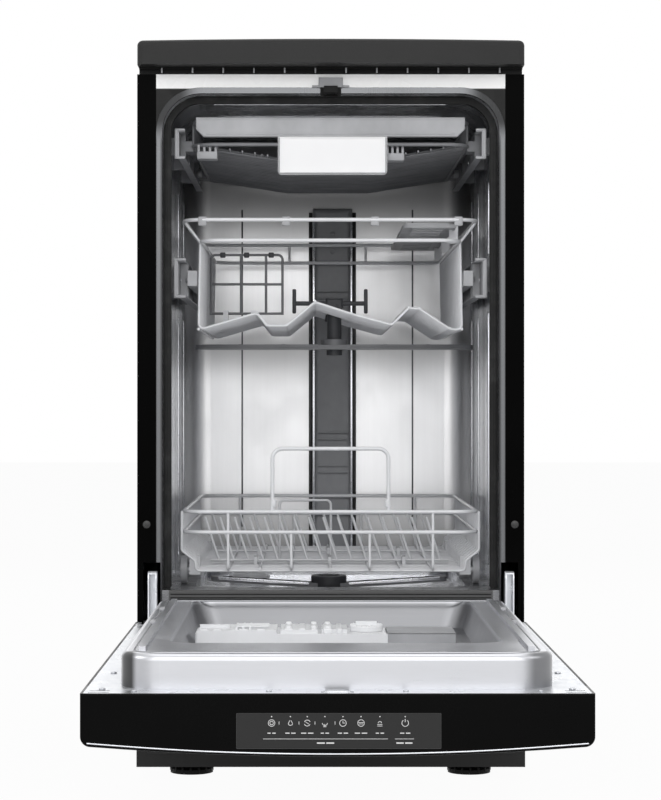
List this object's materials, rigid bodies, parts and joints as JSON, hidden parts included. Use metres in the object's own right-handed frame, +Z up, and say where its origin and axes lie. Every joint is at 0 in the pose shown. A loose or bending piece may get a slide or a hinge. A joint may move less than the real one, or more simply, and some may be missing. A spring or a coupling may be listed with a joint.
{
  "type": "slimline dishwasher",
  "caption": "Slimline free-standing dishwasher with its door open, a cutlery tray, an upper and a lower wire rack, spray arms and a folding inner fit-out.",
  "frame": {"origin": "on the floor, in the middle of the footprint of the cabinet and the open door", "axes": "+X to the right seen from the front, +Y from the open door to the back of the cabinet, +Z up"},
  "size_m": [0.448, 1.234, 0.85],
  "materials": {
    "black_enamel": "satin enamel",
    "worktop_laminate": "dark grey laminate",
    "black_plastic": "moulded",
    "fascia_plastic": "smooth black",
    "galvanised_steel": "galvanised",
    "stainless_steel": "brushed stainless",
    "grey_plastic": "moulded",
    "dark_plastic": "moulded",
    "white_plastic": "moulded",
    "clear_plastic": "milky",
    "coated_wire": "nylon coated wire",
    "seal_rubber": "matt",
    "display_glass": "smoked",
    "board_green": "coated board",
    "bitumen": "matt",
    "spring_steel": "bright",
    "cast_ballast": "rough",
    "blue_plastic": "moulded"
  },
  "bodies": {
    "cabinet": {"worktop": "worktop_laminate", "worktop_frame": "black_plastic", "left_side_panel": "black_enamel", "right_side_panel": "black_enamel", "rear_panel": "galvanised_steel", "top_crossbar": "galvanised_steel", "base_tray": "black_plastic", "plinth": "black_enamel", "tub_wrapper": "stainless_steel", "tub_rear_wall": "stainless_steel", "tub_floor": "stainless_steel", "door_gasket": "seal_rubber", "sill_seal": "seal_rubber", "sill_bar": "galvanised_steel", "latch_striker": "grey_plastic", "striker_hook": "dark_plastic", "rear_duct": "dark_plastic", "cutlery_rails": "stainless_steel", "upper_rails": "grey_plastic", "sump": "dark_plastic", "circulation_pump": "dark_plastic", "drain_pump": "dark_plastic", "water_softener": "white_plastic", "inlet_valve": "white_plastic", "counterweight": "cast_ballast", "hinge_brackets": "galvanised_steel", "door_springs": "spring_steel"},
    "front_left_foot": {"front_left_foot": "black_plastic"},
    "front_right_foot": {"front_right_foot": "black_plastic"},
    "rear_left_foot": {"rear_left_foot": "black_plastic"},
    "rear_right_foot": {"rear_right_foot": "black_plastic"},
    "drain_filter": {"drain_filter": "grey_plastic"},
    "salt_cap": {"salt_cap": "grey_plastic"},
    "door": {"outer_door_panel": "black_enamel", "door_frame": "galvanised_steel", "door_liner": "stainless_steel", "control_fascia": "fascia_plastic", "display_window": "display_glass", "control_board": "board_green", "dispenser_body": "clear_plastic", "hinge_levers": "galvanised_steel", "door_insulation": "bitumen"},
    "detergent_lid": {"detergent_lid": "clear_plastic"},
    "rinse_aid_cap": {"rinse_aid_cap": "blue_plastic"},
    "latch_pawl": {"latch_pawl": "dark_plastic"},
    "cutlery_tray": {"cutlery_tray": "dark_plastic", "cutlery_tray_front": "grey_plastic", "cutlery_tray_handle": "white_plastic"},
    "upper_rack": {"upper_basket": "coated_wire", "upper_basket_runners": "grey_plastic", "upper_feed_tube": "dark_plastic"},
    "cup_shelf": {"cup_shelf": "grey_plastic"},
    "glass_holder": {"glass_holder": "dark_plastic"},
    "upper_spray_arm": {"upper_spray_arm": "grey_plastic"},
    "lower_rack": {"lower_basket": "coated_wire"},
    "front_plate_tines": {"front_plate_tines": "coated_wire"},
    "rear_plate_tines": {"rear_plate_tines": "coated_wire"},
    "front_wheels": {"front_wheels": "grey_plastic"},
    "rear_wheels": {"rear_wheels": "grey_plastic"},
    "lower_spray_arm": {"lower_spray_arm": "grey_plastic"}
  },
  "joints": [
    {"name": "door_hinge", "type": "hinge", "parent": "cabinet", "child": "door", "pos_m": [0, 0.042, 0.158], "axis": [-1, 0, 0], "range_deg": [0, 90]},
    {"name": "cutlery_tray_slide", "type": "slide", "parent": "cabinet", "child": "cutlery_tray", "axis": [0, 1, 0], "range_m": [-0.36, 0]},
    {"name": "upper_rack_slide", "type": "slide", "parent": "cabinet", "child": "upper_rack", "axis": [0, 1, 0], "range_m": [-0.36, 0]},
    {"name": "lower_rack_slide", "type": "slide", "parent": "cabinet", "child": "lower_rack", "axis": [0, 1, 0], "range_m": [-0.44, 0]},
    {"name": "cup_shelf_fold", "type": "hinge", "parent": "upper_rack", "child": "cup_shelf", "pos_m": [0.147, 0.35, 0.642], "axis": [0, 1, 0], "range_deg": [0, 85]},
    {"name": "glass_holder_fold", "type": "hinge", "parent": "upper_rack", "child": "glass_holder", "pos_m": [-0.1, 0.322, 0.546], "axis": [-1, 0, 0], "range_deg": [0, 85]},
    {"name": "upper_spray_arm_spin", "type": "hinge", "parent": "upper_rack", "child": "upper_spray_arm", "pos_m": [0.007, 0.35, 0.507], "axis": [0, 0, 1], "continuous": true},
    {"name": "lower_spray_arm_spin", "type": "hinge", "parent": "cabinet", "child": "lower_spray_arm", "pos_m": [0, 0.35, 0.205], "axis": [0, 0, 1], "continuous": true},
    {"name": "front_tines_fold", "type": "hinge", "parent": "lower_rack", "child": "front_plate_tines", "pos_m": [0, 0.222, 0.2418], "axis": [-1, 0, 0], "range_deg": [0, 80]},
    {"name": "rear_tines_fold", "type": "hinge", "parent": "lower_rack", "child": "rear_plate_tines", "pos_m": [0, 0.402, 0.2418], "axis": [-1, 0, 0], "range_deg": [0, 80]},
    {"name": "front_wheels_roll", "type": "hinge", "parent": "lower_rack", "child": "front_wheels", "pos_m": [0, 0.176, 0.2338], "axis": [1, 0, 0], "continuous": true},
    {"name": "rear_wheels_roll", "type": "hinge", "parent": "lower_rack", "child": "rear_wheels", "pos_m": [0, 0.484, 0.2338], "axis": [1, 0, 0], "continuous": true},
    {"name": "detergent_lid_slide", "type": "slide", "parent": "door", "child": "detergent_lid", "axis": [-1, 0, 0], "range_m": [0, 0.032]},
    {"name": "rinse_aid_cap_turn", "type": "hinge", "parent": "door", "child": "rinse_aid_cap", "pos_m": [0.034, -0.228, 0.205], "axis": [0, 0, 1], "range_deg": [0, 90]},
    {"name": "latch_pawl_tip", "type": "hinge", "parent": "door", "child": "latch_pawl", "pos_m": [0, -0.608, 0.168], "axis": [1, 0, 0], "range_deg": [0, 12], "stiffness_Nm_per_rad": 0.05, "springref_deg": -11.46},
    {"name": "salt_cap_turn", "type": "hinge", "parent": "cabinet", "child": "salt_cap", "pos_m": [-0.105, 0.512, 0.2], "axis": [0, 0, 1], "range_deg": [0, 90]},
    {"name": "drain_filter_turn", "type": "hinge", "parent": "cabinet", "child": "drain_filter", "pos_m": [0.034, 0.318, 0.18], "axis": [0, 0, 1], "range_deg": [0, 90]},
    {"name": "front_left_foot_screw", "type": "hinge", "parent": "cabinet", "child": "front_left_foot", "pos_m": [-0.163, 0.117, 0.02], "axis": [0, 0, 1], "continuous": true},
    {"name": "front_right_foot_screw", "type": "hinge", "parent": "cabinet", "child": "front_right_foot", "pos_m": [0.163, 0.117, 0.02], "axis": [0, 0, 1], "continuous": true},
    {"name": "rear_left_foot_screw", "type": "hinge", "parent": "cabinet", "child": "rear_left_foot", "pos_m": [-0.163, 0.57, 0.02], "axis": [0, 0, 1], "continuous": true},
    {"name": "rear_right_foot_screw", "type": "hinge", "parent": "cabinet", "child": "rear_right_foot", "pos_m": [0.163, 0.57, 0.02], "axis": [0, 0, 1], "continuous": true}
  ],
  "couplings": [
    {"joint": "front_wheels_roll", "follows": "lower_rack_slide", "rad_per_m": -60.606},
    {"joint": "rear_wheels_roll", "follows": "lower_rack_slide", "rad_per_m": -60.606}
  ]
}
